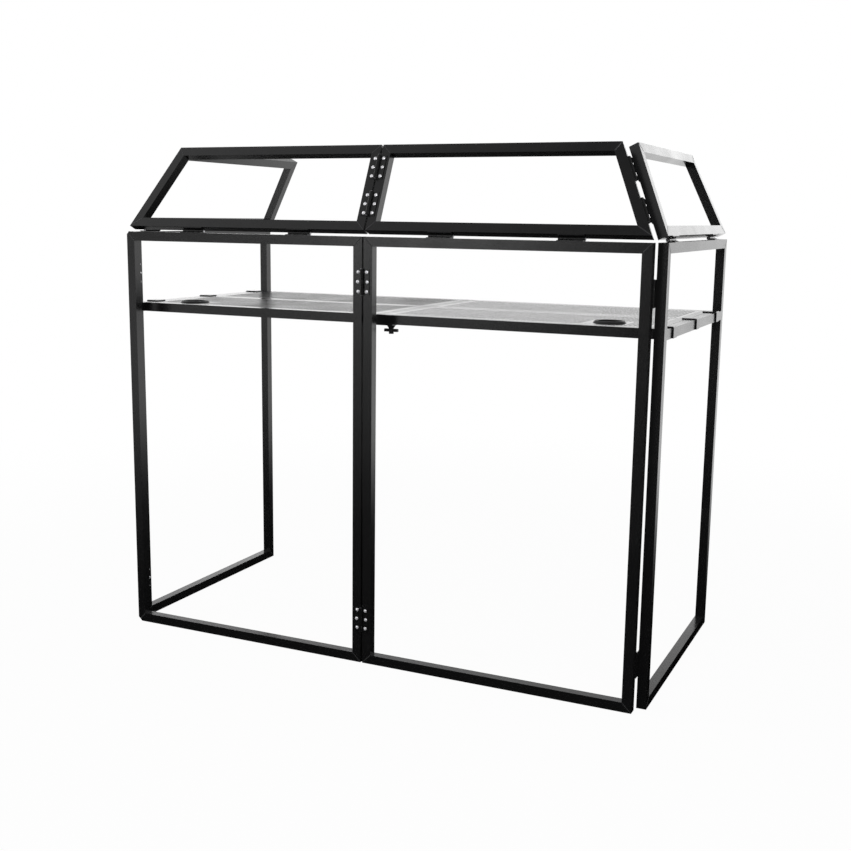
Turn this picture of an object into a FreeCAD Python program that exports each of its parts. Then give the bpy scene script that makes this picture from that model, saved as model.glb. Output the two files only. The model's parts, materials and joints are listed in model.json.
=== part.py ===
# A folding DJ booth of square tube: lower frames, leaning upper frames, hooked table, riveted hinges.
import FreeCAD
import Part
import math
import os
import re

Vector = FreeCAD.Vector
X = Vector(1, 0, 0)
Y = Vector(0, 1, 0)
Z = Vector(0, 0, 1)

# Driving sizes in millimetres and degrees
SIZES = [
    ("tube", 25, "square tube, outside"),
    ("wall", 1.2, "tube wall"),
    ("front_width", 747, "width of one front panel"),
    ("seam_gap", 5, "gap between the two front panels"),
    ("lower_height", 1145, "height of the lower frames"),
    ("side_depth", 713, "depth of a side panel"),
    ("side_setback", 16, "side panel behind the front panel's back face"),
    ("corner_gap", 3, "front panel's outer edge beyond the corner hinge line"),
    ("toe_cut", 12, "corner cut at the outer foot of the left front panel"),
    ("top_cut", 7, "corner cut at the outer top of the left front panel"),
    ("front_lean", 25, "lean of the upper front panels"),
    ("side_lean", 26, "lean of the upper side panels"),
    ("upper_rise", 218.5, "height of the upper band"),
    ("upper_inset", 8, "upper front foot behind the lower outer face"),
    ("side_inset", 4.5, "upper side foot inside the lower outer face"),
    ("hip_gap", 0.5, "hinge line to the front panel's outer edge"),
    ("hip_setback", 11, "hinge line to the side panel's front edge"),
    ("barrel", 5, "hinge barrel radius"),
    ("pin", 2.5, "hinge pin radius"),
    ("pin_play", 0.05, "radial play of pins and rivets"),
    ("pin_head", 3.8, "radius of a pin's head"),
    ("pin_cap", 1.2, "thickness of a pin's head"),
    ("leaf", 2, "leaf thickness"),
    ("hinge_length", 66, "hinge length"),
    ("knuckle_play", 0.3, "gap between knuckles"),
    ("leaf_start", 5.6, "leaf edge beside the barrel"),
    ("relief_start", 5.1, "near edge of a hip leaf's relief windows"),
    ("relief_end", 12, "far edge of a hip leaf's relief windows"),
    ("short_reach", 20, "leaf reach from the pin"),
    ("long_reach", 32, "reach of the leaf on a side panel"),
    ("short_row", 12, "rivet row on a short leaf"),
    ("long_row", 23, "rivet row on a long leaf"),
    ("stagger", 1.5, "middle rivet beyond the row"),
    ("rivet_pitch", 25, "rivet spacing along a hinge"),
    ("rivet_head", 4.6, "rivet head radius"),
    ("rivet_dome", 2, "rivet head height"),
    ("rivet_shank", 2.4, "rivet shank radius"),
    ("centre_drop", 115, "upper hinge on the lower centre seam, below the top"),
    ("centre_low", 124, "lower hinge on the lower centre seam"),
    ("corner_drop", 118, "upper hinge on a lower corner, below the top"),
    ("corner_low", 116, "lower hinge on a lower corner"),
    ("slope_high", 176, "upper hinge on the upper centre seam, along the slope"),
    ("slope_low", 72.5, "lower hinge on the upper centre seam, along the slope"),
    ("hip_high", 202, "upper hinge along a hip"),
    ("hip_low", 84, "lower hinge along a hip"),
    ("seat", 0.2, "upper frames above the connecting barrels"),
    ("right_link_in", 209.5, "right inner connecting hinge from the middle"),
    ("right_link_inset", 200, "right outer connecting hinge from the front panel's outer edge"),
    ("left_link_in", 198.5, "left inner connecting hinge from the middle"),
    ("left_link_inset", 214, "left outer connecting hinge from the front panel's outer edge"),
    ("link_lead", 88, "front connecting hinge of a side panel from its front edge"),
    ("link_trail", 152, "rear connecting hinge of a side panel from its rear edge"),
    ("link_reach", 18, "reach of a connecting leaf on the lower rail"),
    ("link_cap", 15, "reach of a connecting leaf on the upper rail"),
    ("link_row", 10.3, "rivet row on a connecting leaf"),
    ("link_pitch", 29, "rivet spacing on a connecting leaf"),
    ("table_drop", 203, "table below the top of the lower frames"),
    ("table_lead", 34, "table's front edge behind the side panel's"),
    ("table_trail", 30, "table's rear edge before the side panel's"),
    ("table_play", 1, "table's end clear of the side panel"),
    ("table_seam", 2, "gap between the table halves"),
    ("sheet", 1, "thickness of the table sheet"),
    ("opening", 34, "side of an opening in the table sheet"),
    ("right_port_inset", 145.5, "right cable port from the table's end"),
    ("right_port_set", 103, "right cable port from the table's front edge"),
    ("left_port_inset", 120.5, "left cable port from the table's end"),
    ("left_port_set", 75, "left cable port from the table's front edge"),
    ("port_bore", 31, "cable port bore radius"),
    ("port_spigot", 36, "radius of the port's sleeve"),
    ("port_flange", 42, "radius of the port's rim"),
    ("port_rim", 5, "height of the port's rim"),
    ("port_deep", 14, "length of the port's sleeve"),
    ("hook_width", 35, "table hook width"),
    ("hook_thick", 3.5, "table hook thickness"),
    ("hook_flange", 36, "table hook flange over the bar and rail"),
    ("hook_lip", 25, "table hook lip"),
    ("hook_play", 0.3, "hook lip clear of the crossbar"),
    ("hook_inset", 62.5, "outer table hooks from the table's edges"),
    ("plate_long", 100, "seam plate length"),
    ("plate_thick", 3, "seam plate thickness"),
    ("screw", 3, "clamp screw radius"),
    ("screw_x", 40, "clamp screw from the seam"),
    ("knob_gap", 0.3, "knob below the seam plate"),
    ("knob_top", 11.5, "knob flange radius"),
    ("knob_neck", 5, "knob neck radius"),
    ("knob_cone", 10, "knob cone height"),
    ("wing_long", 38, "knob wing length"),
    ("wing_thick", 9, "knob wing thickness"),
    ("wing_high", 7.5, "knob wing height"),
    ("boss", 6.5, "knob boss radius"),
    ("boss_high", 13, "knob boss height"),
]

# Sizes that follow from the driving ones
FOLLOWING = [
    ("front_edge", "=seam_gap / 2 + front_width", "outer edge of a front panel from the middle"),
    ("side_inner", "=front_edge - corner_gap + barrel", "inner face of a side panel from the middle"),
    ("side_front", "=tube + side_setback", "front edge of a side panel"),
    ("side_rear", "=side_front + side_depth", "rear edge of a side panel"),
    ("centre_high", "=lower_height - centre_drop", "upper hinge on the lower centre seam"),
    ("corner_high", "=lower_height - corner_drop", "upper hinge on a lower corner"),
    ("right_link_out", "=front_edge - right_link_inset", "right outer connecting hinge from the middle"),
    ("left_link_out", "=front_edge - left_link_inset", "left outer connecting hinge from the middle"),
    ("link_front", "=side_front + link_lead", "front connecting hinge of a side panel"),
    ("link_rear", "=side_rear - link_trail", "rear connecting hinge of a side panel"),
    ("table_top", "=lower_height - table_drop", "height of the table"),
    ("table_front", "=side_front + table_lead", "front edge of the table"),
    ("table_rear", "=side_rear - table_trail", "rear edge of the table"),
    ("table_end", "=side_inner - table_play", "outer end of the table from the middle"),
    ("right_port_x", "=table_end - right_port_inset", "right cable port from the middle"),
    ("right_port_y", "=table_front + right_port_set", "right cable port from the front face"),
    ("left_port_x", "=table_end - left_port_inset", "left cable port from the middle"),
    ("left_port_y", "=table_front + left_port_set", "left cable port from the front face"),
    ("hook_step", "=(table_rear - table_front) / 2 - hook_inset", "table hook spacing"),
]

doc = FreeCAD.newDocument("dj_booth")
sizes = doc.addObject("Spreadsheet::Sheet", "sizes")
ALL_SIZES = SIZES + FOLLOWING
for row, (name, content, note) in enumerate(ALL_SIZES, start=1):
    sizes.set(f"A{row}", note)
    sizes.set(f"B{row}", str(content))
    sizes.setAlias(f"B{row}", name)
doc.recompute()

CELL = re.compile(r"\b(" + "|".join(name for name, content, note in ALL_SIZES) + r")\b")


def formula(text):
    """The text with each size's name written as its cell."""
    return CELL.sub(r"sizes.\1", text)


def value(text):
    """The number that a formula of sizes gives."""
    result = sizes.evalExpression(formula(text))
    return float(getattr(result, "Value", result))


def add(kind, label, **bound):
    """A new object whose properties are bound to formulas of sizes."""
    made = doc.addObject(kind, label)
    for prop, text in bound.items():
        made.setExpression(prop, formula(text))
    return made


def placed(origin, along, across):
    """The placement that turns X to along and Y to across."""
    up = along.cross(across)
    matrix = FreeCAD.Matrix(
        along.x, across.x, up.x, origin.x,
        along.y, across.y, up.y, origin.y,
        along.z, across.z, up.z, origin.z,
        0, 0, 0, 1,
    )
    return FreeCAD.Placement(matrix)


def shift(x, y, z):
    return FreeCAD.Placement(Vector(x, y, z), FreeCAD.Rotation())


def at(origin):
    return placed(origin, X, Y)


def flip(v):
    """A vector's mirror image on the other side of the booth."""
    return Vector(-v.x, v.y, v.z)


def cut(label, base, tool):
    made = doc.addObject("Part::Cut", label)
    made.Base = base
    made.Tool = tool
    return made


def fuse(label, pieces):
    made = doc.addObject("Part::MultiFuse", label)
    made.Shapes = pieces
    return made


def group(label, pieces):
    made = doc.addObject("Part::Compound", label)
    made.Links = pieces
    return made


def copy(label, master, place):
    """A placed copy that follows its master."""
    made = doc.addObject("App::Link", label)
    made.LinkedObject = master
    made.LinkTransform = False
    made.Placement = place
    return made


NODES = []


def node(label, pieces):
    NODES.append(group(label, pieces))


# Where the panels stand
T = value("tube")
R = value("barrel")
SEAT = value("seat")
LEAN = math.radians(value("front_lean"))
SIDE_LEAN = math.radians(value("side_lean"))
REAR = "side_rear"
MIDDLE = value("(side_rear - 2 * barrel) / 2")
SIDE_X = value("side_inner + tube")
UPPER_Z = value(
    "lower_height + barrel + (barrel + seat + (tube - barrel - upper_inset) * sin(front_lean)) / cos(front_lean)"
)
FRONT_BACK = Vector(0, math.cos(LEAN), -math.sin(LEAN))
FRONT_UP = Vector(0, math.sin(LEAN), math.cos(LEAN))
SIDE_BACK = Vector(-math.cos(SIDE_LEAN), 0, -math.sin(SIDE_LEAN))
SIDE_UP = Vector(-math.sin(SIDE_LEAN), 0, math.cos(SIDE_LEAN))


def point(x, y, z):
    """A point measured from the front face, about the row's own origin."""
    return Vector(x, y - MIDDLE, z)


FRONT = placed(point(0, 0, 0), X, Y)
SIDE_RIGHT = placed(point(SIDE_X, 0, 0), Y, -X)
SIDE_LEFT = placed(point(-SIDE_X, 0, 0), -Y, X)
INSET = value("upper_inset")
SIDE_INSET = value("side_inset")
UPPER_FRONT = placed(point(0, INSET, UPPER_Z), X, FRONT_BACK)
UPPER_SIDE_RIGHT = placed(point(SIDE_X - SIDE_INSET, 0, UPPER_Z), Y, SIDE_BACK)
UPPER_SIDE_LEFT = placed(point(SIDE_INSET - SIDE_X, 0, UPPER_Z), -Y, flip(SIDE_BACK))
TABLE = placed(point(0, 0, value("table_top")), X, -Z)


# Mitred tubes
def tube(label, place, length, start="0", end="0", cuts=()):
    """A hollow tube along X whose outer face is Y = 0, mitred inwards by start and end."""
    outside = add(
        "Part::Wedge", label + "_outside", Xmax=length, Ymax="tube", Zmax="tube",
        X2min=start, X2max=f"{length} - {end}", Z2max="tube",
    )
    outside.Z2min = 0
    bore = add(
        "Part::Box", label + "_bore", Length=f"{length} + 2 * tube",
        Width="tube - 2 * wall", Height="tube - 2 * wall",
    )
    bore.Placement = shift(-T, value("wall"), value("wall"))
    made = cut(label if not cuts else label + "_hollow", outside, bore)
    for count, (corner, half_angle, amount, turn) in enumerate(cuts, start=1):
        tool = add("Part::Box", f"{label}_corner_{count}", Length="2 * tube", Width="4 * tube", Height="2 * tube")
        line = Vector(turn * math.cos(half_angle), math.sin(half_angle), 0)
        inwards = placed(Vector(corner, 0, 0), line, Z.cross(line))
        tool.Placement = inwards * shift(amount * math.cos(half_angle) - 2 * T, -2 * T, -T / 2)
        made = cut(label if count == len(cuts) else f"{label}_step_{count}", made, tool)
    made.Placement = place
    return made


EDGES = ("foot", "lead", "head", "trail")


def frame(label, panel, corners, angles, corner_cuts=(0, 0, 0, 0)):
    """Four mitred tubes round a window; corners run anticlockwise as the outer face is seen."""
    tubes = []
    for edge, name in enumerate(EDGES):
        after = (edge + 1) % 4
        (u, v), (u_end, v_end) = corners[edge], corners[after]
        length = f"sqrt(({u_end} - ({u}))^2 + ({v_end} - ({v}))^2)"
        turn = math.atan2(value(f"{v_end} - ({v})"), value(f"{u_end} - ({u})"))
        cuts = []
        if corner_cuts[edge]:
            cuts.append((0, math.radians(value(angles[edge])) / 2, corner_cuts[edge], 1))
        if corner_cuts[after]:
            cuts.append((value(length), math.radians(value(angles[after])) / 2, corner_cuts[after], -1))
        along = Vector(math.cos(turn), 0, math.sin(turn))
        inwards = Vector(-math.sin(turn), 0, math.cos(turn))
        place = panel * placed(Vector(value(u), T, value(v)), along, inwards)
        start = f"tube / tan(({angles[edge]}) / 2)"
        end = f"tube / tan(({angles[after]}) / 2)"
        tubes.append(tube(f"{label}_{name}", place, length, start, end, cuts))
    return tubes


SQUARE = ("90", "90", "90", "90")
NEAR = "seam_gap / 2"
FAR = "front_edge"
TOE = value("toe_cut")
TOP = value("top_cut")
node("front_right_frame", frame(
    "front_right", FRONT,
    [(NEAR, "0"), (FAR, "0"), (FAR, "lower_height"), (NEAR, "lower_height")], SQUARE,
))
node("front_left_frame", frame(
    "front_left", FRONT,
    [("-" + FAR, "0"), ("-" + NEAR, "0"), ("-" + NEAR, "lower_height"), ("-" + FAR, "lower_height")],
    SQUARE, (TOE, 0, 0, TOP),
))
LEAD = "side_front"
node("side_right_frame", frame(
    "side_right", SIDE_RIGHT,
    [(LEAD, "0"), (REAR, "0"), (REAR, "lower_height"), (LEAD, "lower_height")], SQUARE,
))
node("side_left_frame", frame(
    "side_left", SIDE_LEFT,
    [("-" + REAR, "0"), ("-" + LEAD, "0"), ("-" + LEAD, "lower_height"), ("-" + REAR, "lower_height")], SQUARE,
))
BAR = "side_depth - 2 * tube"
BAR_Z = value("table_top - tube")
for label, panel, start in (
    ("side_right_crossbar", SIDE_RIGHT, value(f"{LEAD} + tube")),
    ("side_left_crossbar", SIDE_LEFT, value(f"tube - {REAR}")),
):
    bar = tube(label + "_tube", panel * placed(Vector(start, T, BAR_Z), X, Z), BAR)
    node(label, [bar])

# Leaning upper frames, cut to the hip lines
HIP_FRONT = "atan(tan(side_lean) * cos(front_lean))"
HIP_SIDE = "atan(tan(front_lean) * cos(side_lean))"
DEEP = "(tube + barrel)"
HIP_X = (
    f"(side_inner + tube - side_inset - {DEEP} / cos(side_lean)"
    f" + {DEEP} * tan(side_lean) * sin(front_lean))"
)
FOOT = f"({HIP_X} - hip_gap / cos({HIP_FRONT}))"
HEAD = f"({FOOT} - upper_rise * tan(side_lean))"
SLOPE = "upper_rise / cos(front_lean)"
SHARP = f"90 deg - {HIP_FRONT}"
BLUNT = f"90 deg + {HIP_FRONT}"
node("upper_front_right_frame", frame(
    "upper_front_right", UPPER_FRONT,
    [(NEAR, "0"), (FOOT, "0"), (HEAD, SLOPE), (NEAR, SLOPE)], ("90", SHARP, BLUNT, "90"),
))
node("upper_front_left_frame", frame(
    "upper_front_left", UPPER_FRONT,
    [("-" + FOOT, "0"), ("-" + NEAR, "0"), ("-" + NEAR, SLOPE), ("-" + HEAD, SLOPE)], (SHARP, "90", "90", BLUNT),
))
HIP_Y = f"(upper_inset + {DEEP} / cos(front_lean) - {DEEP} * tan(front_lean) * sin(side_lean))"
SIDE_FOOT = f"({HIP_Y} + hip_setback / cos({HIP_SIDE}))"
SIDE_HEAD = f"({SIDE_FOOT} + upper_rise * tan(front_lean))"
SIDE_SLOPE = "upper_rise / cos(side_lean)"
SIDE_SHARP = f"90 deg - {HIP_SIDE}"
SIDE_BLUNT = f"90 deg + {HIP_SIDE}"
node("upper_side_right_frame", frame(
    "upper_side_right", UPPER_SIDE_RIGHT,
    [(SIDE_FOOT, "0"), (REAR, "0"), (REAR, SIDE_SLOPE), (SIDE_HEAD, SIDE_SLOPE)],
    (SIDE_SHARP, "90", "90", SIDE_BLUNT),
))
node("upper_side_left_frame", frame(
    "upper_side_left", UPPER_SIDE_LEFT,
    [("-" + REAR, "0"), ("-" + SIDE_FOOT, "0"), ("-" + SIDE_HEAD, SIDE_SLOPE), ("-" + REAR, SIDE_SLOPE)],
    ("90", SIDE_SHARP, SIDE_BLUNT, "90"),
))

# Hinge masters: the pin is the Z axis, the panel's face is Y = -barrel and the leaf runs along X
LENGTH = value("hinge_length")
PITCH = value("rivet_pitch")
THIRD = "(hinge_length / 3)"
FIFTH = "(hinge_length / 5)"


def rivet_spots(row, pitch, middle):
    """Where a leaf's rivets are: the row, and the middle one a little beyond it."""
    ends = [(row, -pitch), (row, pitch)]
    return ends + [(row + value("stagger"), 0)] if middle else [(row, -pitch / 2), (row, pitch / 2)]


SHORT = rivet_spots(value("short_row"), PITCH, True)
LONG = rivet_spots(value("long_row"), PITCH, True)
LINK = rivet_spots(value("link_row"), value("link_pitch"), False)


def leaf(label, reach, spots, knuckles, windows=()):
    """A hinge leaf; a knuckle is a piece of the barrel and a window opens beside it, from its start up."""
    plate = add(
        "Part::Box", label + "_plate", Length=f"{reach} - leaf_start", Width="leaf", Height="hinge_length",
    )
    plate.Placement = shift(value("leaf_start"), -R, -LENGTH / 2)
    pieces = [plate]
    for count, (start, length) in enumerate(knuckles, start=1):
        web = add("Part::Box", f"{label}_web_{count}", Length="leaf_start + leaf", Width="leaf", Height=length)
        web.Placement = shift(0, -R, value(start))
        roll = add("Part::Cylinder", f"{label}_roll_{count}", Radius="barrel", Height=length)
        roll.Placement = shift(0, 0, value(start))
        pieces += [web, roll]
    solid = fuse(label + "_solid", pieces) if knuckles else plate
    holes = []
    if knuckles:
        bore = add("Part::Cylinder", label + "_bore", Radius="pin + pin_play", Height="2 * hinge_length")
        bore.Placement = shift(0, 0, -LENGTH)
        holes.append(bore)
    for count, (along, up) in enumerate(spots, start=1):
        hole = add("Part::Cylinder", f"{label}_hole_{count}", Radius="rivet_shank + pin_play", Height="3 * leaf")
        hole.Placement = placed(Vector(along, 2 * value("leaf") - R, up), X, Z)
        holes.append(hole)
    for count, start in enumerate(windows, start=1):
        window = add(
            "Part::Box", f"{label}_window_{count}", Length="relief_end - relief_start", Width="3 * leaf",
            Height=FIFTH,
        )
        window.Placement = shift(value("relief_start"), -R - value("leaf"), value(start))
        holes.append(window)
    return cut(label, solid, group(label + "_holes", holes))


END_KNUCKLES = [
    ("-hinge_length / 2", f"{THIRD} - knuckle_play / 2"),
    ("hinge_length / 6 + knuckle_play / 2", f"{THIRD} - knuckle_play / 2"),
]
MID_KNUCKLE = [("-hinge_length / 6 + knuckle_play / 2", f"{THIRD} - knuckle_play")]
WHOLE_BARREL = [("-hinge_length / 2", "hinge_length")]
END_LEAF = leaf("end_leaf", "short_reach", SHORT, END_KNUCKLES)
MID_LEAF = leaf("mid_leaf", "short_reach", SHORT, MID_KNUCKLE)
LONG_LEAF = leaf("long_leaf", "long_reach", LONG, MID_KNUCKLE)
HIP_LEAF = leaf("hip_leaf", "long_reach", LONG, MID_KNUCKLE, (f"-1.5 * {FIFTH}", f"0.5 * {FIFTH}"))
LINK_BASE = leaf("link_base", "link_reach", LINK, WHOLE_BARREL)
LINK_CAP = leaf("link_cap_leaf", "link_cap", LINK, [])

pin_rod = add("Part::Cylinder", "pin_rod", Radius="pin", Height="hinge_length")
pin_rod.Placement = shift(0, 0, -LENGTH / 2)
pin_ends = []
for label, start in (("pin_foot", -LENGTH / 2 - value("pin_cap")), ("pin_crown", LENGTH / 2)):
    pin_end = add("Part::Cylinder", label, Radius="pin_head", Height="pin_cap")
    pin_end.Placement = shift(0, 0, start)
    pin_ends.append(pin_end)
PIN = fuse("hinge_pin", [pin_rod] + pin_ends)

# Rivet master: the dome stands on the leaf and the shank ends on the panel's face
BALL = "((rivet_head^2 + rivet_dome^2) / (2 * rivet_dome))"
dome = add(
    "Part::Sphere", "rivet_cap", Radius=BALL, Angle1=f"asin(({BALL} - rivet_dome) / {BALL})",
)
dome.Placement = shift(0, 0, value(f"leaf - {BALL} + rivet_dome"))
shank = add("Part::Cylinder", "rivet_stem", Radius="rivet_shank", Height="leaf")
RIVET = fuse("rivet", [dome, shank])

# Every leaf, pin and rivet in its place, kept by the piece that holds it
LEAVES = {}
PINS = {}
RIVETS = {}


def hang(holder, leaves, master, spots, origin, into, normal, pinned=False):
    """One leaf of a hinge on a panel, with its rivets, and the pin if it holds it."""
    place = placed(origin, into, normal)
    listed = LEAVES.setdefault(leaves, [])
    listed.append(copy(f"{leaves}_{len(listed) + 1}", master, place))
    rivets = RIVETS.setdefault(holder, [])
    for along, up in spots:
        seat = place * placed(Vector(along, -R, up), X, -Z)
        rivets.append(copy(f"rivet_{holder}_{len(rivets) + 1}", RIVET, seat))
    if pinned:
        pins = PINS.setdefault(holder, [])
        pins.append(copy(f"pin_{holder}_{len(pins) + 1}", PIN, place))


for height in ("centre_high", "centre_low"):
    spot = point(0, -R, value(height))
    hang("front_right", "centre_leaves_right", END_LEAF, SHORT, spot, X, -Y, pinned=True)
    hang("front_left", "centre_leaves_left", MID_LEAF, SHORT, spot, -X, -Y)
for slope in ("slope_high", "slope_low"):
    spot = UPPER_FRONT.multVec(Vector(0, -R, value(slope)))
    hang("upper_front_right", "upper_centre_leaves_right", END_LEAF, SHORT, spot, X, -FRONT_BACK, pinned=True)
    hang("upper_front_left", "upper_centre_leaves_left", MID_LEAF, SHORT, spot, -X, -FRONT_BACK)


def corner_hinge(upper, kind, side_leaf, spot, axis, front_back, side_back):
    """A hinge from a front panel's back face to a side panel's inner face, on both sides."""
    near = axis.cross(front_back)
    far = side_back.cross(axis)
    hang(upper + "front_right", kind + "_leaves_front_right", END_LEAF, SHORT, spot, near, front_back, pinned=True)
    hang(upper + "side_right", kind + "_leaves_side_right", side_leaf, LONG, spot, far, side_back)
    spot, near, far, inner = flip(spot), flip(near), flip(far), flip(side_back)
    hang(upper + "front_left", kind + "_leaves_front_left", END_LEAF, SHORT, spot, near, front_back, pinned=True)
    hang(upper + "side_left", kind + "_leaves_side_left", side_leaf, LONG, spot, far, inner)


for height in ("corner_high", "corner_low"):
    spot = point(value("side_inner - barrel"), value(DEEP), value(height))
    corner_hinge("", "corner", LONG_LEAF, spot, Z, Y, -X)
HIP_AXIS = Vector(-math.tan(SIDE_LEAN), math.tan(LEAN), 1)
HIP_AXIS.normalize()
HIP_BASE = UPPER_FRONT.multVec(Vector(value(HIP_X), value(DEEP), 0))
for distance in ("hip_high", "hip_low"):
    spot = HIP_BASE + HIP_AXIS * value(distance)
    corner_hinge("upper_", "hip", HIP_LEAF, spot, HIP_AXIS, FRONT_BACK, SIDE_BACK)


def link(panel, spot, outwards, lean_out, lean_up):
    """A connecting hinge along the inner edge between a lower and an upper panel."""
    hang(panel, "link_base_" + panel, LINK_BASE, LINK, spot, outwards, Z, pinned=True)
    above = spot + lean_up * SEAT
    hang("upper_" + panel, "link_cap_" + panel, LINK_CAP, LINK, above, lean_out, -lean_up)


LINK_Z = value("lower_height + barrel")
FRONT_LINE = value("tube - barrel")
SIDE_LINE = value("side_inner + tube - side_inset") - (
    ((UPPER_Z - LINK_Z) * math.cos(SIDE_LEAN) - R - SEAT) / math.sin(SIDE_LEAN)
)
for across in ("link_in", "link_out"):
    for side, turn in (("right", 1), ("left", -1)):
        spot = point(turn * value(f"{side}_{across}"), FRONT_LINE, LINK_Z)
        link("front_" + side, spot, -Y, -FRONT_BACK, FRONT_UP)
for back in ("link_front", "link_rear"):
    spot = point(SIDE_LINE, value(back), LINK_Z)
    link("side_right", spot, X, -SIDE_BACK, SIDE_UP)
    link("side_left", flip(spot), -X, -flip(SIDE_BACK), flip(SIDE_UP))

for label, pieces in LEAVES.items():
    node(label, pieces)
for holder, pieces in PINS.items():
    node("hinge_pins_" + holder, pieces)
for holder, pieces in RIVETS.items():
    node("rivets_" + holder, pieces)

# Table halves
HALF_NEAR = "table_seam / 2"
BAY = f"(table_end - {HALF_NEAR} - 2 * tube)"
MID_RAIL = "((table_front + table_rear - tube) / 2)"
BAY_DEEP = f"({MID_RAIL} - table_front - tube)"
OPEN_COLUMNS = 12
OPEN_ROWS = 5
PORT_LAND = value("port_flange + opening / sqrt(2)")
OPENING = add("Part::Box", "sheet_opening", Length="opening", Width="4 * sheet", Height="opening")
HOOK = fuse("table_hook", [
    add("Part::Box", "hook_flange_box", Length="hook_flange", Width="hook_width", Height="hook_thick"),
    add("Part::Box", "hook_lip_box", Length="hook_thick", Width="hook_width", Height="hook_lip"),
    add("Part::Cylinder", "hook_bend", Radius="hook_thick", Height="hook_width", Angle="90"),
])
HALF_HOOK = value("hook_width / 2")
HOOK.Shapes[0].Placement = shift(-value("hook_flange"), -HALF_HOOK, 0)
HOOK.Shapes[1].Placement = shift(0, -HALF_HOOK, -value("hook_lip"))
HOOK.Shapes[2].Placement = placed(Vector(0, HALF_HOOK, 0), X, Z)

rim = add(
    "Part::Cone", "port_rim_cone", Radius1="port_flange", Radius2="port_flange - port_rim", Height="port_rim",
)
sleeve = add("Part::Cylinder", "port_sleeve", Radius="port_spigot", Height="port_deep")
sleeve.Placement = shift(0, 0, -value("port_deep"))
port_hollow = add("Part::Cylinder", "port_hollow", Radius="port_bore", Height="4 * port_deep")
port_hollow.Placement = shift(0, 0, -2 * value("port_deep"))
PORT = cut("cable_port", fuse("port_body", [rim, sleeve]), port_hollow)

def openings(label, corner, port):
    """A grid of openings in a bay of the table, clear of the cable port."""
    across = value(BAY) / OPEN_COLUMNS
    deep = value(BAY_DEEP) / OPEN_ROWS
    half = value("opening / 2")
    made = []
    for column in range(OPEN_COLUMNS):
        for row in range(OPEN_ROWS):
            centre = corner + Vector((column + 0.5) * across, 0, (row + 0.5) * deep)
            if (centre - port).Length < PORT_LAND:
                continue
            place = TABLE * shift(centre.x - half, -2 * value("sheet"), centre.z - half)
            made.append(copy(f"{label}_{len(made) + 1}", OPENING, place))
    return made


for side, turn in (("right", 1), ("left", -1)):
    label = "table_" + side
    if turn > 0:
        ends = (HALF_NEAR, "table_end")
    else:
        ends = ("-table_end", "-" + HALF_NEAR)
    low, high = ends
    rails = frame(
        label, TABLE,
        [(low, "table_front"), (high, "table_front"), (high, "table_rear"), (low, "table_rear")], SQUARE,
    )
    bay_start = value(f"{low} + tube")
    rails.append(tube(label + "_mid_rail", TABLE * placed(Vector(bay_start, T, value(MID_RAIL)), X, Z), BAY))
    node(label + "_frame", rails)
    port_x = turn * value(side + "_port_x")
    port_y = value(side + "_port_y")
    port_spot = point(port_x, port_y, value("table_top"))
    port_hole = add("Part::Cylinder", label + "_port_hole", Radius="port_spigot", Height="4 * sheet")
    port_hole.Placement = at(port_spot) * shift(0, 0, -2 * value("sheet"))
    port_centre = Vector(port_x, 0, port_y)
    sheets = []
    for bay, start, extra in (("fore", "table_front + tube", [port_hole]), ("aft", f"{MID_RAIL} + tube", [])):
        corner = Vector(bay_start, 0, value(start))
        panel = add("Part::Box", f"{label}_{bay}_panel", Length=BAY, Width="sheet", Height=BAY_DEEP)
        panel.Placement = TABLE * shift(corner.x, corner.y, corner.z)
        grid = group(f"{label}_{bay}_grid", openings(f"{label}_{bay}_opening", corner, port_centre) + extra)
        sheets.append(cut(f"{label}_{bay}_sheet", panel, grid))
    node(label + "_sheets", sheets)
    node(label + "_cable_port", [copy(label + "_port", PORT, at(port_spot))])
    hooks = []
    for step in (-1, 0, 1):
        along = value("(table_front + table_rear) / 2") + step * value("hook_step")
        spot = point(turn * (SIDE_X + value("hook_play")), along, value("table_top"))
        hooks.append(copy(f"{label}_hook_{step + 2}", HOOK, placed(spot, X * turn, Y * turn)))
    node(label + "_hooks", hooks)

# Seam plates and clamp knobs under the table
PLATE_Z = value("table_top - tube - plate_thick")
KNOB_Z = value("table_top - tube - plate_thick - knob_gap")
cone = add("Part::Cone", "knob_skirt", Radius1="knob_neck", Radius2="knob_top", Height="knob_cone")
cone.Placement = shift(0, 0, -value("knob_cone"))
wing = add("Part::Box", "knob_wing", Length="wing_long", Width="wing_thick", Height="wing_high")
wing.Placement = shift(-value("wing_long / 2"), -value("wing_thick / 2"), -value("knob_cone + wing_high - 1"))
hub = add("Part::Cylinder", "knob_hub", Radius="boss", Height="boss_high")
hub.Placement = shift(0, 0, -value("knob_cone + boss_high - 1"))
SCREW_LONG = "(plate_thick + knob_gap + knob_cone - seat)"
screw_seat = add("Part::Cylinder", "knob_screw_seat", Radius="screw", Height=SCREW_LONG)
screw_seat.Placement = shift(0, 0, -value("knob_cone"))
KNOB = cut("wing_knob", fuse("knob_body", [cone, wing, hub]), screw_seat)
SCREW = add("Part::Cylinder", "clamp_screw", Radius="screw", Height=SCREW_LONG)

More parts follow.
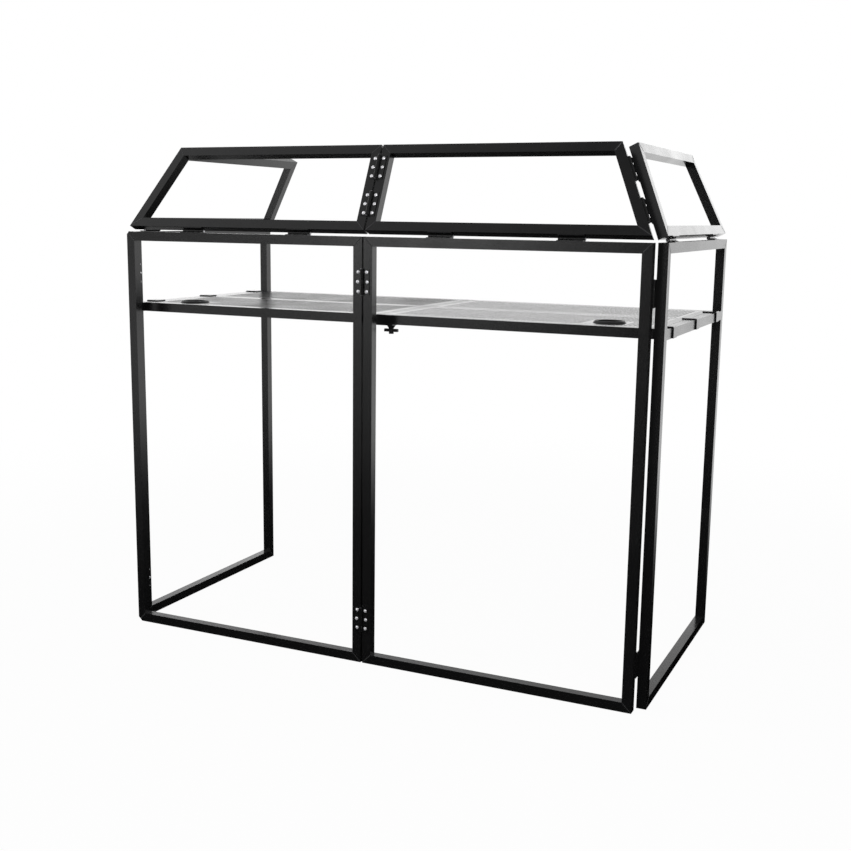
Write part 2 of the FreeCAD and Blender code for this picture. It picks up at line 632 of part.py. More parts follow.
plates = []
for end, along in (("front", value("table_front + tube / 2")), ("rear", value("table_rear - tube / 2"))):
    plate = add("Part::Box", end + "_plate_box", Length="plate_long", Width="tube", Height="plate_thick")
    plate.Placement = at(point(-value("plate_long / 2"), along - T / 2, PLATE_Z))
    drill = add("Part::Cylinder", end + "_plate_drill", Radius="screw + pin_play", Height="3 * plate_thick")
    drill.Placement = at(point(value("screw_x"), along, PLATE_Z - value("plate_thick")))
    plates.append(cut(end + "_seam_plate", plate, drill))
    knob_spot = at(point(value("screw_x"), along, KNOB_Z))
    node(end + "_wing_knob", [copy(end + "_knob_copy", KNOB, knob_spot)])
    node(end + "_clamp_screw", [copy(end + "_screw_copy", SCREW, knob_spot * shift(0, 0, -value("knob_cone")))])
node("seam_plates", plates)

# Build, check and write every piece
doc.recompute()
for item in doc.Objects:
    if "Invalid" in item.State or "Error" in item.State:
        raise RuntimeError(f"{item.Name} did not build")
os.makedirs("parts", exist_ok=True)
for item in NODES:
    if item.Shape.isNull() or not item.Shape.isValid():
        raise RuntimeError(f"{item.Name} has no sound shape")
    item.Shape.exportStep(f"parts/{item.Name}.step")
print(f"{len(NODES)} pieces written")
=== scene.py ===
import json
import math

import bpy
from mathutils import Euler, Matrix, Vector


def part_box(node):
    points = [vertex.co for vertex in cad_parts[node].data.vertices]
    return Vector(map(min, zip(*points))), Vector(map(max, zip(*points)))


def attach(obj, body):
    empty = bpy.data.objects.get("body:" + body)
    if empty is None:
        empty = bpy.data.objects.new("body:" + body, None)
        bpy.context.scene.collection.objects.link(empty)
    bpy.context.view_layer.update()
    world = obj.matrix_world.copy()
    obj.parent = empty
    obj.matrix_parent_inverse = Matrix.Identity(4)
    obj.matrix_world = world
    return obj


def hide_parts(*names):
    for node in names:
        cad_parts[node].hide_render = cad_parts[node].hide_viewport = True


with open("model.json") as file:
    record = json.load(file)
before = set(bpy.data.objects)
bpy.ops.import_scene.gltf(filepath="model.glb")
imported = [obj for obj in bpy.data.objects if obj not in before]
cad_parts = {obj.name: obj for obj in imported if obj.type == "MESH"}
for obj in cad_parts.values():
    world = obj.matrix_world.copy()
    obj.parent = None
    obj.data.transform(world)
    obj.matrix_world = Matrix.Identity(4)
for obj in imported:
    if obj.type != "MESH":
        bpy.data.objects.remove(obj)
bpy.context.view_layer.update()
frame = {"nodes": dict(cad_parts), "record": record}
nodes = frame["nodes"]

# Sizes of the booth that the welds and sheets follow, in metres, and its two leans
TUBE = 0.025
SEAM_GAP = 0.005
SIDE_LEAN = math.radians(26.0)
FRONT_LEAN = math.radians(25.0)
UPPER_RISE = 0.2185
TOE_CUT = 0.012
TOP_CUT = 0.007
SHEET_THICK = 0.001
PORT_RADIUS = 0.036
SIDES = (("right", 1), ("left", -1))

# Camera of the photograph: place in metres, turn in degrees, lens and sensor in millimetres
CAMERA_PLACE = (1.4065, -3.0391, 1.1976)
CAMERA_TURN = (79.8349, -0.7587, 24.7751)
CAMERA_LENS = 49.32
CAMERA_SENSOR = 36.0

# Small helpers for shader trees
NUMBER = "NodeSocketFloat"
OFF_ON = (0.0, 1.0)
ON_OFF = (1.0, 0.0)
GREY_BLUE = 1.04


def wire(tree, out_socket, in_socket):
    tree.links.new(out_socket, in_socket)


def set_inputs(made, values):
    """Inputs by name, with spaces written as underscores."""
    for name, value in values.items():
        made.inputs[name.replace("_", " ")].default_value = value


def place_node(tree, kind, **values):
    """A node of that kind with some of its inputs set."""
    made = tree.nodes.new(kind)
    set_inputs(made, values)
    return made


def new_group(name, inputs, outputs):
    """An empty shader group with named number sockets, and its two end nodes."""
    group = bpy.data.node_groups.new(name, "ShaderNodeTree")
    for label, usual in inputs.items():
        socket = group.interface.new_socket(name=label, in_out="INPUT", socket_type=NUMBER)
        socket.default_value = usual
    for label in outputs:
        group.interface.new_socket(name=label, in_out="OUTPUT", socket_type=NUMBER)
    return group, group.nodes.new("NodeGroupInput"), group.nodes.new("NodeGroupOutput")


def use_group(tree, group, **values):
    """A shared effect in this tree, with some of its inputs set."""
    made = tree.nodes.new("ShaderNodeGroup")
    made.node_tree = group
    set_inputs(made, values)
    return made


def math_node(tree, operation, *values):
    """A maths node on sockets or numbers."""
    made = tree.nodes.new("ShaderNodeMath")
    made.operation = operation
    for place, value in enumerate(values):
        if isinstance(value, (int, float)):
            made.inputs[place].default_value = value
        else:
            wire(tree, value, made.inputs[place])
    return made.outputs[0]


def vector_node(tree, operation, vector):
    """A vector maths node on one vector."""
    made = tree.nodes.new("ShaderNodeVectorMath")
    made.operation = operation
    wire(tree, vector, made.inputs[0])
    return made


def split_axes(tree, vector):
    """The X, Y and Z of a vector."""
    made = tree.nodes.new("ShaderNodeSeparateXYZ")
    wire(tree, vector, made.inputs["Vector"])
    return made.outputs


def range_node(tree, socket, span, levels, change="LINEAR"):
    """A number that goes from one level to another over a span and stays level outside it."""
    made = tree.nodes.new("ShaderNodeMapRange")
    made.interpolation_type = change
    made.inputs["From Min"].default_value, made.inputs["From Max"].default_value = span
    made.inputs["To Min"].default_value, made.inputs["To Max"].default_value = levels
    wire(tree, socket, made.inputs["Value"])
    return made.outputs["Result"]


def ease(tree, socket, span, levels):
    """A smooth change between two levels over a span."""
    return range_node(tree, socket, span, levels, "SMOOTHSTEP")


def choose(tree, share, off, on):
    """A number that is off where share is 0 and on where it is 1."""
    part = math_node(tree, "MULTIPLY", share, on)
    rest = math_node(tree, "MULTIPLY", math_node(tree, "SUBTRACT", 1.0, share), off)
    return math_node(tree, "ADD", part, rest)


def blend_colour(tree, mask, first, second):
    """A colour that goes from first to second where the mask is high."""
    made = tree.nodes.new("ShaderNodeMix")
    made.data_type = "RGBA"
    wire(tree, mask, made.inputs["Factor"])
    for label, value in (("A", first), ("B", second)):
        socket = next(s for s in made.inputs if s.name == label and s.type == "RGBA")
        if isinstance(value, tuple):
            socket.default_value = value
        else:
            wire(tree, value, socket)
    return next(s for s in made.outputs if s.type == "RGBA")


def grey(level):
    """A grey with a trace of blue."""
    return (level, level, level * GREY_BLUE, 1.0)


# Shared effects: the noise of each, and where a rub starts and is full
PEEL_NOISE = {"Detail": 3.0, "Roughness": 0.55}
CLOUD_NOISE = {"Detail": 4.0, "Roughness": 0.6}
DUST_NOISE = {"Detail": 5.0, "Roughness": 0.7}
RUB_NOISE = {"Detail": 6.0, "Roughness": 0.65, "Distortion": 0.4}
RUB_SPAN = (0.56, 0.74)


def piece_noise(tree, scale, values):
    """Noise in the piece's own space, with its scale from a socket."""
    coords = tree.nodes.new("ShaderNodeTexCoord")
    made = place_node(tree, "ShaderNodeTexNoise", **values)
    wire(tree, coords.outputs["Object"], made.inputs["Vector"])
    wire(tree, scale, made.inputs["Scale"])
    return made.outputs["Fac"]


def make_peel_group():
    """Powder coat's fine orange peel and its slow, cloudy change of gloss."""
    group, start, end = new_group("powder_peel", {"Grain": 900.0, "Cloud": 9.0}, ("Height", "Cloudiness"))
    wire(group, piece_noise(group, start.outputs["Grain"], PEEL_NOISE), end.inputs["Height"])
    wire(group, piece_noise(group, start.outputs["Cloud"], CLOUD_NOISE), end.inputs["Cloudiness"])
    return group


def make_dust_group():
    """A thin film of dust on faces that look up, broken by noise."""
    group, start, end = new_group("settled_dust", {"Amount": 0.3, "Scale": 60.0}, ("Mask",))
    coords = group.nodes.new("ShaderNodeTexCoord")
    upward = math_node(group, "MAXIMUM", split_axes(group, coords.outputs["Normal"])["Z"], 0.0)
    speck = piece_noise(group, start.outputs["Scale"], DUST_NOISE)
    broken = math_node(group, "MULTIPLY", upward, speck)
    wire(group, math_node(group, "MULTIPLY", broken, start.outputs["Amount"]), end.inputs["Mask"])
    return group


def make_rub_group():
    """Handling rubs: sparse soft patches where the coat has been touched."""
    group, start, end = new_group("handling_rubs", {"Amount": 0.5, "Scale": 7.0}, ("Mask",))
    patch = range_node(group, piece_noise(group, start.outputs["Scale"], RUB_NOISE), RUB_SPAN, OFF_ON)
    wire(group, math_node(group, "MULTIPLY", patch, start.outputs["Amount"]), end.inputs["Mask"])
    return group


PEEL = make_peel_group()
DUST = make_dust_group()
RUBS = make_rub_group()

# Finishes: the cloudiness between the highest and lowest gloss, and how strongly the peel shows
CLOUD_SPAN = (0.3, 0.7)
PEEL_STRENGTH = 0.35


def fresh_material(name):
    """A material with one Principled shader wired to its output."""
    material = bpy.data.materials.new(name)
    material.use_nodes = True
    tree = material.node_tree
    tree.nodes.clear()
    shader = tree.nodes.new("ShaderNodeBsdfPrincipled")
    output = tree.nodes.new("ShaderNodeOutputMaterial")
    wire(tree, shader.outputs["BSDF"], output.inputs["Surface"])
    return material, tree, shader


def coat(name, colour, worn, dusty, gloss, grain, depth, rub=0.5, metallic=0.0, shine=0.35):
    """A coated or moulded finish; gloss is the lowest and highest roughness, depth the peel in metres."""
    material, tree, shader = fresh_material(name)
    peel = use_group(tree, PEEL, Grain=grain)
    film = use_group(tree, DUST)
    rubs = use_group(tree, RUBS, Amount=rub)
    handled = blend_colour(tree, rubs.outputs["Mask"], grey(colour), grey(worn))
    wire(tree, blend_colour(tree, film.outputs["Mask"], handled, grey(dusty)), shader.inputs["Base Color"])
    wire(tree, range_node(tree, peel.outputs["Cloudiness"], CLOUD_SPAN, gloss), shader.inputs["Roughness"])
    bump = place_node(tree, "ShaderNodeBump", Strength=PEEL_STRENGTH, Distance=depth)
    wire(tree, peel.outputs["Height"], bump.inputs["Height"])
    wire(tree, bump.outputs["Normal"], shader.inputs["Normal"])
    shader.inputs["Metallic"].default_value = metallic
    shader.inputs["Specular IOR Level"].default_value = shine
    return material


BLACK_COAT = coat(
    "black_powder_coat", colour=0.006, worn=0.010, dusty=0.06, gloss=(0.20, 0.26), grain=1400.0, depth=0.0001,
)
HINGE_COAT = coat(
    "hinge_black", colour=0.006, worn=0.012, dusty=0.06, gloss=(0.20, 0.30), grain=1800.0, depth=0.0001,
)
HOOK_COAT = coat(
    "hook_black", colour=0.008, worn=0.03, dusty=0.08, gloss=(0.20, 0.28), grain=1500.0, depth=0.0001,
    rub=0.8,
)
SHEET_COAT = coat(
    "sheet_black", colour=0.010, worn=0.014, dusty=0.08, gloss=(0.28, 0.38), grain=1600.0, depth=0.0002,
    shine=0.55,
)
SMOOTH_SHEET = coat(
    "sheet_black_smooth", colour=0.010, worn=0.014, dusty=0.08, gloss=(0.15, 0.20), grain=1600.0,
    depth=0.0001, shine=0.55,
)
WELD_COAT = coat(
    "ground_weld", colour=0.025, worn=0.06, dusty=0.08, gloss=(0.20, 0.34), grain=700.0, depth=0.0006,
    rub=1.0,
)
PORT_PLASTIC = coat(
    "port_plastic", colour=0.010, worn=0.014, dusty=0.06, gloss=(0.46, 0.60), grain=2200.0, depth=0.0002,
    rub=0.4,
)
KNOB_PLASTIC = coat(
    "knob_plastic", colour=0.008, worn=0.014, dusty=0.06, gloss=(0.42, 0.56), grain=2200.0, depth=0.0002,
    rub=0.6,
)
RIVET_BARE = 0.6
RIVET_METAL = coat(
    "bright_rivet", colour=0.98, worn=0.92, dusty=0.95, gloss=(0.28, 0.38), grain=1600.0, depth=0.00005,
    metallic=RIVET_BARE, shine=0.6,
)
PIN_STEEL = coat(
    "pin_steel", colour=0.34, worn=0.22, dusty=0.30, gloss=(0.26, 0.42), grain=1600.0, depth=0.0003,
    rub=0.7, metallic=1.0,
)

# The rivets of the connecting hinges are made black instead of bright metal: their middle height and its
# reach, in metres, and their grey
LINK_HEIGHT = 1.155
LINK_REACH = 0.02
LINK_BLACK = 0.008


def blacken_links(material):
    """Black rivets in the band between the lower and the upper frames."""
    tree = material.node_tree
    shader = next(node for node in tree.nodes if node.type == "BSDF_PRINCIPLED")
    coords = tree.nodes.new("ShaderNodeTexCoord")
    height = split_axes(tree, coords.outputs["Object"])["Z"]
    band = math_node(tree, "COMPARE", height, LINK_HEIGHT, LINK_REACH)
    bright = shader.inputs["Base Color"].links[0].from_socket
    wire(tree, blend_colour(tree, band, bright, grey(LINK_BLACK)), shader.inputs["Base Color"])
    bare = math_node(tree, "SUBTRACT", 1.0, band)
    wire(tree, math_node(tree, "MULTIPLY", bare, RIVET_BARE), shader.inputs["Metallic"])


blacken_links(RIVET_METAL)
FINISHES = {
    "black_coat": BLACK_COAT,
    "hinge_coat": HINGE_COAT,
    "hook_coat": HOOK_COAT,
    "sheet_coat": SHEET_COAT,
    "rivet_metal": RIVET_METAL,
    "pin_steel": PIN_STEEL,
    "port_plastic": PORT_PLASTIC,
    "knob_plastic": KNOB_PLASTIC,
}

# Finish and softened edges for every piece from the CAD
EDGE_ROUND = {"black_coat": 0.0014, "hinge_coat": 0.0005, "hook_coat": 0.0005, "knob_plastic": 0.0008}
EDGE_STEPS = 2
SHARP_EDGE = math.radians(35.0)
slot_of = {entry["node"]: entry["material_slot"] for entry in frame["record"]["subparts"]}


def soften(piece, width):
    bevel = piece.modifiers.new("edge_round", "BEVEL")
    bevel.width = width
    bevel.segments = EDGE_STEPS
    bevel.limit_method = "ANGLE"
    bevel.angle_limit = SHARP_EDGE


for name, piece in nodes.items():
    slot = slot_of[name]
    piece.data.materials.clear()
    piece.data.materials.append(FINISHES[slot])
    if slot in EDGE_ROUND:
        soften(piece, EDGE_ROUND[slot])


def new_piece(name, points, faces, material):
    """A mesh of its own in the scene."""
    mesh = bpy.data.meshes.new(name)
    mesh.from_pydata(points, [], faces)
    mesh.materials.append(material)
    mesh.update()
    made = bpy.data.objects.new(name, mesh)
    bpy.context.scene.collection.objects.link(made)
    return made


# Ground welds along the mitres of every frame: the bead in metres, where it runs, its ripple and its ends
WELD_HALF = 0.0013
WELD_HIGH = 0.00045
WELD_STEPS = 14
WELD_START = 0.05
WELD_END = 0.97
WELD_PROFILE = ((-1.0, 0.0), (-0.55, 0.7), (0.0, 1.0), (0.55, 0.7), (1.0, 0.0))
RIPPLE_SHARE = 0.16
RIPPLE_RATE = 41.0
RIPPLE_SHIFT = 90.0
TAPER_POWER = 8
MITRES = 4
SQUARE_CORNERS = (0.0, 0.0, 0.0, 0.0)
CORNER_CUTS = {"right": SQUARE_CORNERS, "left": (TOE_CUT, 0.0, 0.0, TOP_CUT)}


class Panel:
    """A panel's outer face: u runs across it, v up it and back goes into the tube."""

    def __init__(self, origin, across, back):
        self.origin = Vector(origin)
        self.across = Vector(across)
        self.back = Vector(back)
        self.up = self.across.cross(self.back)

    def at(self, u, v, deep):
        return self.origin + self.across * u + self.up * v + self.back * deep


def weld_line(panel, start, end, deep, lift, points, faces):
    """One bead from start to end on the face at that depth, with the ripple of a hand-held torch."""
    run = Vector((end[0] - start[0], end[1] - start[1]))
    side = Vector((-run.y, run.x)).normalized()
    first = len(points)
    for step in range(WELD_STEPS + 1):
        share = step / WELD_STEPS
        ripple = 1.0 + RIPPLE_SHARE * math.sin(share * RIPPLE_RATE + start[0] * RIPPLE_SHIFT)
        taper = math.sqrt(max(0.0, 1.0 - (2.0 * share - 1.0) ** TAPER_POWER))
        middle = Vector(start) + run * share
        for across, high in WELD_PROFILE:
            spot = middle + side * (across * WELD_HALF * ripple)
            points.append(panel.at(spot.x, spot.y, deep + lift * high * taper * ripple))
    wide = len(WELD_PROFILE)
    for step in range(WELD_STEPS):
        for column in range(wide - 1):
            low = first + step * wide + column
            faces.append((low, low + 1, low + wide + 1, low + wide))


def inner_corner(corners, place):
    """Where the mitre at a corner meets the window."""
    here = Vector(corners[place])
    before = (Vector(corners[place - 1]) - here).normalized()
    after = (Vector(corners[(place + 1) % MITRES]) - here).normalized()
    half = before.angle(after) / 2.0
    return here + (before + after).normalized() * (TUBE / math.sin(half))


def weld_frame(body, panel, corners, cuts=SQUARE_CORNERS):
    """Beads on both faces of a frame's mitres, clear of the corners that are cut off."""
    points, faces = [], []
    for place in range(MITRES):
        outside = Vector(corners[place])
        inside = inner_corner(corners, place)
        start = outside.lerp(inside, WELD_START + cuts[place] / (2.0 * TUBE))
        end = outside.lerp(inside, WELD_END)
        weld_line(panel, start, end, 0.0, -WELD_HIGH, points, faces)
        weld_line(panel, start, end, TUBE, WELD_HIGH, points, faces)
    beads = new_piece(f"{body}_welds", points, faces, WELD_COAT)
    beads.data.shade_smooth()
    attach(beads, body)


def box_corners(low_u, high_u, low_v, high_v):
    return [(low_u, low_v), (high_u, low_v), (high_u, high_v), (low_u, high_v)]


def weld_front(side):
    low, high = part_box(f"front_{side}_frame")
    panel = Panel((0.0, low.y, 0.0), (1, 0, 0), (0, 1, 0))
    weld_frame(f"front_{side}", panel, box_corners(low.x, high.x, low.z, high.z), CORNER_CUTS[side])


def weld_side(side, sign):
    low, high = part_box(f"side_{side}_frame")
    outer = max(abs(low.x), abs(high.x))
    across = sorted((sign * low.y, sign * high.y))
    panel = Panel((sign * outer, 0.0, 0.0), (0, sign, 0), (-sign, 0, 0))
    weld_frame(f"side_{side}", panel, box_corners(across[0], across[1], low.z, high.z))


def weld_table(side):
    low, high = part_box(f"table_{side}_frame")
    panel = Panel((0.0, 0.0, high.z), (1, 0, 0), (0, 0, -1))
    weld_frame(f"table_{side}", panel, box_corners(low.x, high.x, low.y, high.y))


def weld_upper_front(side, sign):
    low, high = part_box(f"upper_front_{side}_frame")
    back = (0.0, math.cos(FRONT_LEAN), -math.sin(FRONT_LEAN))
    foot_z = low.z + TUBE * math.sin(FRONT_LEAN)
    foot = max(abs(low.x), abs(high.x))
    head = foot - UPPER_RISE * math.tan(SIDE_LEAN)
    slope = UPPER_RISE / math.cos(FRONT_LEAN)
    near = SEAM_GAP / 2.0
    if sign > 0:
        corners = [(near, 0.0), (foot, 0.0), (head, slope), (near, slope)]
    else:
        corners = [(-foot, 0.0), (-near, 0.0), (-near, slope), (-head, slope)]
    weld_frame(f"upper_front_{side}", Panel((0.0, low.y, foot_z), (1, 0, 0), back), corners)


def weld_upper_side(side, sign):
    low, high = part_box(f"upper_side_{side}_frame")
    outer = max(abs(low.x), abs(high.x))
    back = (-sign * math.cos(SIDE_LEAN), 0.0, -math.sin(SIDE_LEAN))
    foot_z = low.z + TUBE * math.sin(SIDE_LEAN)
    lead = low.y + UPPER_RISE * math.tan(FRONT_LEAN)
    slope = UPPER_RISE / math.cos(SIDE_LEAN)
    if sign > 0:
        corners = [(low.y, 0.0), (high.y, 0.0), (high.y, slope), (lead, slope)]
    else:
        corners = [(-high.y, 0.0), (-low.y, 0.0), (-lead, slope), (-high.y, slope)]
    weld_frame(f"upper_side_{side}", Panel((sign * outer, 0.0, foot_z), (0, sign, 0), back), corners)


for side, sign in SIDES:
    weld_front(side)
    weld_side(side, sign)
    weld_table(side)
    weld_upper_front(side, sign)
    weld_upper_side(side, sign)

# Perforated table sheets: holes in metres, and how many cells round a cable port stay plain
HOLE_PITCH = 0.010
HOLE_RADIUS = 0.0033
SHEET_BORDER = 0.009
PORT_BLOCK = 5
SHEET_FINISH = {"right": SMOOTH_SHEET, "left": SHEET_COAT}


def grid_lines(low, high):
    """Half-step grid positions: a plain border, then whole holes, then a plain border."""
    count = int((high - low - 2.0 * SHEET_BORDER) / HOLE_PITCH)
    border = (high - low - count * HOLE_PITCH) / 2.0
    lines = [low, low + border / 2.0]
    lines += [low + border + step * HOLE_PITCH / 2.0 for step in range(2 * count + 1)]
    return lines + [high - border / 2.0, high]


def cells_along(lines):
    return (len(lines) - 1) // 2


def plain_span(lines, spot):
    """The first and the last cell along one direction of the plain block round a port."""
    count = cells_along(lines)
    middle = min(range(count), key=lambda cell: abs(lines[2 * cell + 1] - spot))
    return max(0, middle - PORT_BLOCK), min(count - 1, middle + PORT_BLOCK)


def block_edge(columns, rows):
    """The grid places round a block of cells, given by its first and last column and row."""
    left, right = 2 * columns[0], 2 * columns[1] + 2
    near, far = 2 * rows[0], 2 * rows[1] + 2
    edge = [(a, near) for a in range(left, right)]
    edge += [(right, b) for b in range(near, far)]
    edge += [(a, far) for a in range(right, left, -1)]
    edge += [(left, b) for b in range(far, near, -1)]
    return edge


class SheetGrid:
    """A bay of sheet on its grid; cells that meet share their corners."""

    def __init__(self, columns, rows, top, points, faces):
        self.columns = columns
        self.rows = rows
        self.top = top
        self.points = points
        self.faces = faces
        self.known = {}

    def corner(self, a, b):
        if (a, b) not in self.known:
            self.known[a, b] = len(self.points)
            self.points.append((self.columns[a], self.rows[b], self.top))
        return self.known[a, b]

    def pierce(self, edge, centre, radius):
        """The sheet between an edge and a round hole."""
        ring = [self.corner(a, b) for a, b in edge]
        first = len(self.points)
        for a, b in edge:
            angle = math.atan2(self.rows[b] - centre[1], self.columns[a] - centre[0])
            rim_x = centre[0] + radius * math.cos(angle)
            rim_y = centre[1] + radius * math.sin(angle)
            self.points.append((rim_x, rim_y, self.top))
        count = len(ring)
        for step in range(count):
            after = (step + 1) % count
            self.faces.append((ring[step], ring[after], first + after, first + step))

    def fill(self, edge):
        """A plain cell: its corners, and the half-way places that a neighbour uses."""
        loop = []
        for place, spot in enumerate(edge):
            if place % 2 == 0 or spot in self.known:
                loop.append(self.corner(*spot))
        self.faces.append(tuple(loop))


def perforated_bay(x_span, y_span, top, points, faces, port=None):
    """One sheet of holes; round the cable port it is plain and has the port's own hole."""
    columns = grid_lines(*x_span)
    rows = grid_lines(*y_span)
    grid = SheetGrid(columns, rows, top, points, faces)
    wide, deep = cells_along(columns), cells_along(rows)
    block = None
    if port:
        block = (plain_span(columns, port[0]), plain_span(rows, port[1]))
    border = []
    for i in range(wide):
        for j in range(deep):
            if block and block[0][0] <= i <= block[0][1] and block[1][0] <= j <= block[1][1]:
                continue
            cell = block_edge((i, i), (j, j))
            if i in (0, wide - 1) or j in (0, deep - 1):
                border.append(cell)
            else:
                grid.pierce(cell, (columns[2 * i + 1], rows[2 * j + 1]), HOLE_RADIUS)
    if block:
        grid.pierce(block_edge(*block), port, PORT_RADIUS)
    for cell in border:
        grid.fill(cell)


for side, finish in SHEET_FINISH.items():
    sheet_low, sheet_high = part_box(f"table_{side}_sheets")
    port_low, port_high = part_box(f"table_{side}_cable_port")
    port_spot = ((port_low.x + port_high.x) / 2.0, (port_low.y + port_high.y) / 2.0)
    rail_low = (sheet_low.y + sheet_high.y - TUBE) / 2.0
    across = (sheet_low.x, sheet_high.x)
    points, faces = [], []
    perforated_bay(across, (sheet_low.y, rail_low), sheet_high.z, points, faces, port_spot)
    perforated_bay(across, (rail_low + TUBE, sheet_high.y), sheet_high.z, points, faces)
    sheet = new_piece(f"table_{side}_perforated", points, faces, finish)
    thicken = sheet.modifiers.new("sheet_gauge", "SOLIDIFY")
    thicken.thickness = SHEET_THICK
    thicken.offset = -1.0
    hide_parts(f"table_{side}_sheets")
    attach(sheet, f"table_{side}")

# Studio: pale floor, white surround, soft lamps and the photograph's camera
FLOOR_HALF = 14.0
FLOOR_DROP = 0.0006
FLOOR_COLOUR = (0.80, 0.80, 0.80, 1.0)
FLOOR_NEAR_SHARE = 0.96
FLOOR_FADE = (1.2, 3.5)
WHITE = (1.0, 1.0, 1.0, 1.0)
WORLD_LIGHT = 0.50

# The room in reflections: each pair is where a change starts and ends, or the levels there
ROOM_TURN = (-0.1, 0.8)
FRONT_SPAN = (-0.65, -0.25)
FRONT_LEVELS = (1.0, 0.17)
GLOW_LEFT = (-0.49, -0.44)
GLOW_LEVELS = (0.5, 6.5)
GLOW_RIGHT = (-0.43, -0.25)
GLOW_RISE = (-0.05, -0.015)
GLOW_FALL = (0.05, 0.3)
BACK_RISE = (0.03, 0.22)
BACK_LEVELS = (1.0, 1.95)
BACK_LEFT = (-0.46, -0.425)
BACK_LEFT_GAINS = (1.4, 1.0)
BACK_RIGHT = (-0.2, 0.08)
BACK_RIGHT_GAINS = (1.0, 1.56)
BACK_FALL = (0.23, 0.32)
OVERHEAD_LEVELS = (0.47, 0.66)
FRONT_FLOOR_LIT = (1.2, 6.0)
BACK_FLOOR_LIT = (1.0, 3.4)
FLOOR_DIP = (0.0, 0.0, -0.2)


def seen_directly(tree, path):
    """1 where the camera sees the surface itself or through something clear."""
    return math_node(tree, "MAXIMUM", path.outputs["Is Camera Ray"], path.outputs["Is Transmission Ray"])


def facing_back(tree, heading):
    """0 towards the front of the room, 1 towards its back."""
    return ease(tree, split_axes(tree, heading)["Y"], ROOM_TURN, OFF_ON)


def front_level(tree, axes):
    """The front of the room: lit from the left, with a bright patch level with the top rails."""
    wall = ease(tree, axes["X"], FRONT_SPAN, FRONT_LEVELS)
    patch_left = ease(tree, axes["X"], GLOW_LEFT, GLOW_LEVELS)
    patch_right = ease(tree, axes["X"], GLOW_RIGHT, ON_OFF)
    patch = math_node(tree, "MULTIPLY", patch_left, patch_right)
    above = ease(tree, axes["Z"], GLOW_RISE, OFF_ON)
    below = ease(tree, axes["Z"], GLOW_FALL, ON_OFF)
    return choose(tree, math_node(tree, "MULTIPLY", above, below), wall, patch)


def back_level(tree, axes):
    """The back of the room: a bright band low down, brighter at both ends, and darker overhead."""
    rise = ease(tree, axes["Z"], BACK_RISE, BACK_LEVELS)
    left = ease(tree, axes["X"], BACK_LEFT, BACK_LEFT_GAINS)
    right = ease(tree, axes["X"], BACK_RIGHT, BACK_RIGHT_GAINS)
    band = math_node(tree, "MULTIPLY", math_node(tree, "MULTIPLY", rise, left), right)
    overhead = ease(tree, axes["X"], BACK_LEFT, OVERHEAD_LEVELS)
    return choose(tree, ease(tree, axes["Z"], BACK_FALL, OFF_ON), band, overhead)


def room_level(tree, heading):
    """How bright the room is along a heading."""
    axes = split_axes(tree, heading)
    return choose(tree, facing_back(tree, heading), front_level(tree, axes), back_level(tree, axes))


def make_floor_paint():
    """White to look at with the booth's shadow, matt to the lamps, and lit like the room in reflections."""
    paint = bpy.data.materials.new("studio_floor_paint")
    paint.use_nodes = True
    tree = paint.node_tree
    tree.nodes.clear()
    path = tree.nodes.new("ShaderNodeLightPath")
    coords = tree.nodes.new("ShaderNodeTexCoord")
    reach = vector_node(tree, "LENGTH", coords.outputs["Object"]).outputs["Value"]
    outwards = vector_node(tree, "NORMALIZE", coords.outputs["Object"]).outputs["Vector"]
    dipped = vector_node(tree, "ADD", outwards)
    dipped.inputs[1].default_value = FLOOR_DIP
    white_share = ease(tree, reach, FLOOR_FADE, (FLOOR_NEAR_SHARE, 1.0))
    front_lit = ease(tree, reach, FRONT_FLOOR_LIT, OFF_ON)
    back_lit = ease(tree, reach, BACK_FLOOR_LIT, OFF_ON)
    lit_share = choose(tree, facing_back(tree, outwards), front_lit, back_lit)
    mirrored = math_node(tree, "MULTIPLY", room_level(tree, dipped.outputs["Vector"]), lit_share)
    seen = seen_directly(tree, path)
    matt = place_node(tree, "ShaderNodeBsdfDiffuse", Color=FLOOR_COLOUR)
    bright = place_node(tree, "ShaderNodeEmission", Color=WHITE)
    wire(tree, choose(tree, seen, mirrored, 1.0), bright.inputs["Strength"])
    mixer = tree.nodes.new("ShaderNodeMixShader")
    wire(tree, choose(tree, seen, path.outputs["Is Glossy Ray"], white_share), mixer.inputs["Fac"])
    wire(tree, matt.outputs["BSDF"], mixer.inputs[1])
    wire(tree, bright.outputs["Emission"], mixer.inputs[2])
    output = tree.nodes.new("ShaderNodeOutputMaterial")
    wire(tree, mixer.outputs["Shader"], output.inputs["Surface"])
    return paint


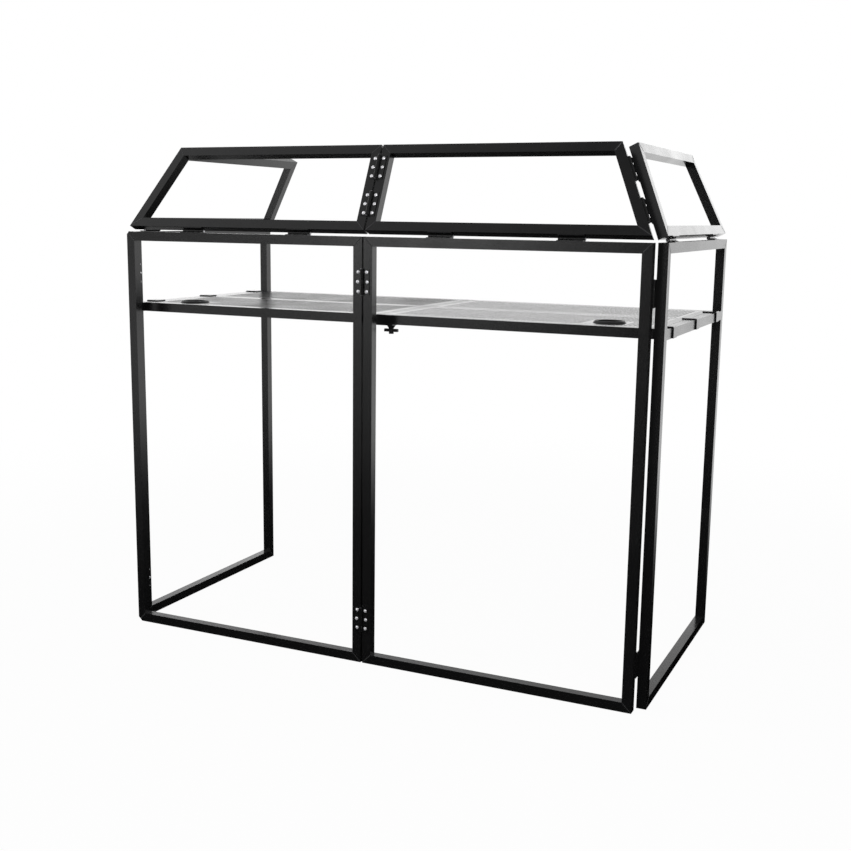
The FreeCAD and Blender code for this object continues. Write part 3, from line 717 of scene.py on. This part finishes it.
def make_surround():
    """White to look at, even light on the booth, and the room in reflections."""
    world = bpy.data.worlds.new("white_studio")
    world.use_nodes = True
    tree = world.node_tree
    tree.nodes.clear()
    path = tree.nodes.new("ShaderNodeLightPath")
    coords = tree.nodes.new("ShaderNodeTexCoord")
    surround = place_node(tree, "ShaderNodeBackground", Color=WHITE)
    room = room_level(tree, coords.outputs["Generated"])
    unseen = choose(tree, path.outputs["Is Glossy Ray"], WORLD_LIGHT, room)
    wire(tree, choose(tree, seen_directly(tree, path), unseen, 1.0), surround.inputs["Strength"])
    output = tree.nodes.new("ShaderNodeOutputWorld")
    wire(tree, surround.outputs["Background"], output.inputs["Surface"])
    return world


def soft_lamp(name, place, target, size, power, mirrored):
    """A softbox that the camera doesn't see, and reflections only where it is mirrored."""
    lamp = bpy.data.lights.new(name, "AREA")
    lamp.shape = "RECTANGLE"
    lamp.size, lamp.size_y = size
    lamp.energy = power
    made = bpy.data.objects.new(name, lamp)
    made.location = place
    made.rotation_euler = (Vector(target) - Vector(place)).to_track_quat("-Z", "Y").to_euler()
    made.visible_camera = False
    made.visible_glossy = mirrored
    bpy.context.scene.collection.objects.link(made)


floor_corners = box_corners(-FLOOR_HALF, FLOOR_HALF, -FLOOR_HALF, FLOOR_HALF)
floor_points = [(x, y, -FLOOR_DROP) for x, y in floor_corners]
floor = new_piece("studio_floor", floor_points, [(0, 1, 2, 3)], make_floor_paint())
bpy.context.scene.world = make_surround()
soft_lamp(
    "key_softbox", place=(-3.0, -1.6, 4.0), target=(0.0, 0.0, 0.8),
    size=(3.2, 2.6), power=45.0, mirrored=False,
)
soft_lamp(
    "front_softbox", place=(2.6, -3.6, 2.9), target=(0.0, -0.3, 0.9),
    size=(1.6, 1.6), power=60.0, mirrored=True,
)

camera_data = bpy.data.cameras.new("photo_camera")
camera_data.lens = CAMERA_LENS
camera_data.sensor_width = CAMERA_SENSOR
camera_data.sensor_fit = "HORIZONTAL"
camera = bpy.data.objects.new("photo_camera", camera_data)
camera.location = CAMERA_PLACE
camera.rotation_euler = Euler([math.radians(angle) for angle in CAMERA_TURN], "XYZ")
bpy.context.scene.collection.objects.link(camera)
bpy.context.scene.camera = camera
bpy.context.scene.view_settings.view_transform = "Standard"
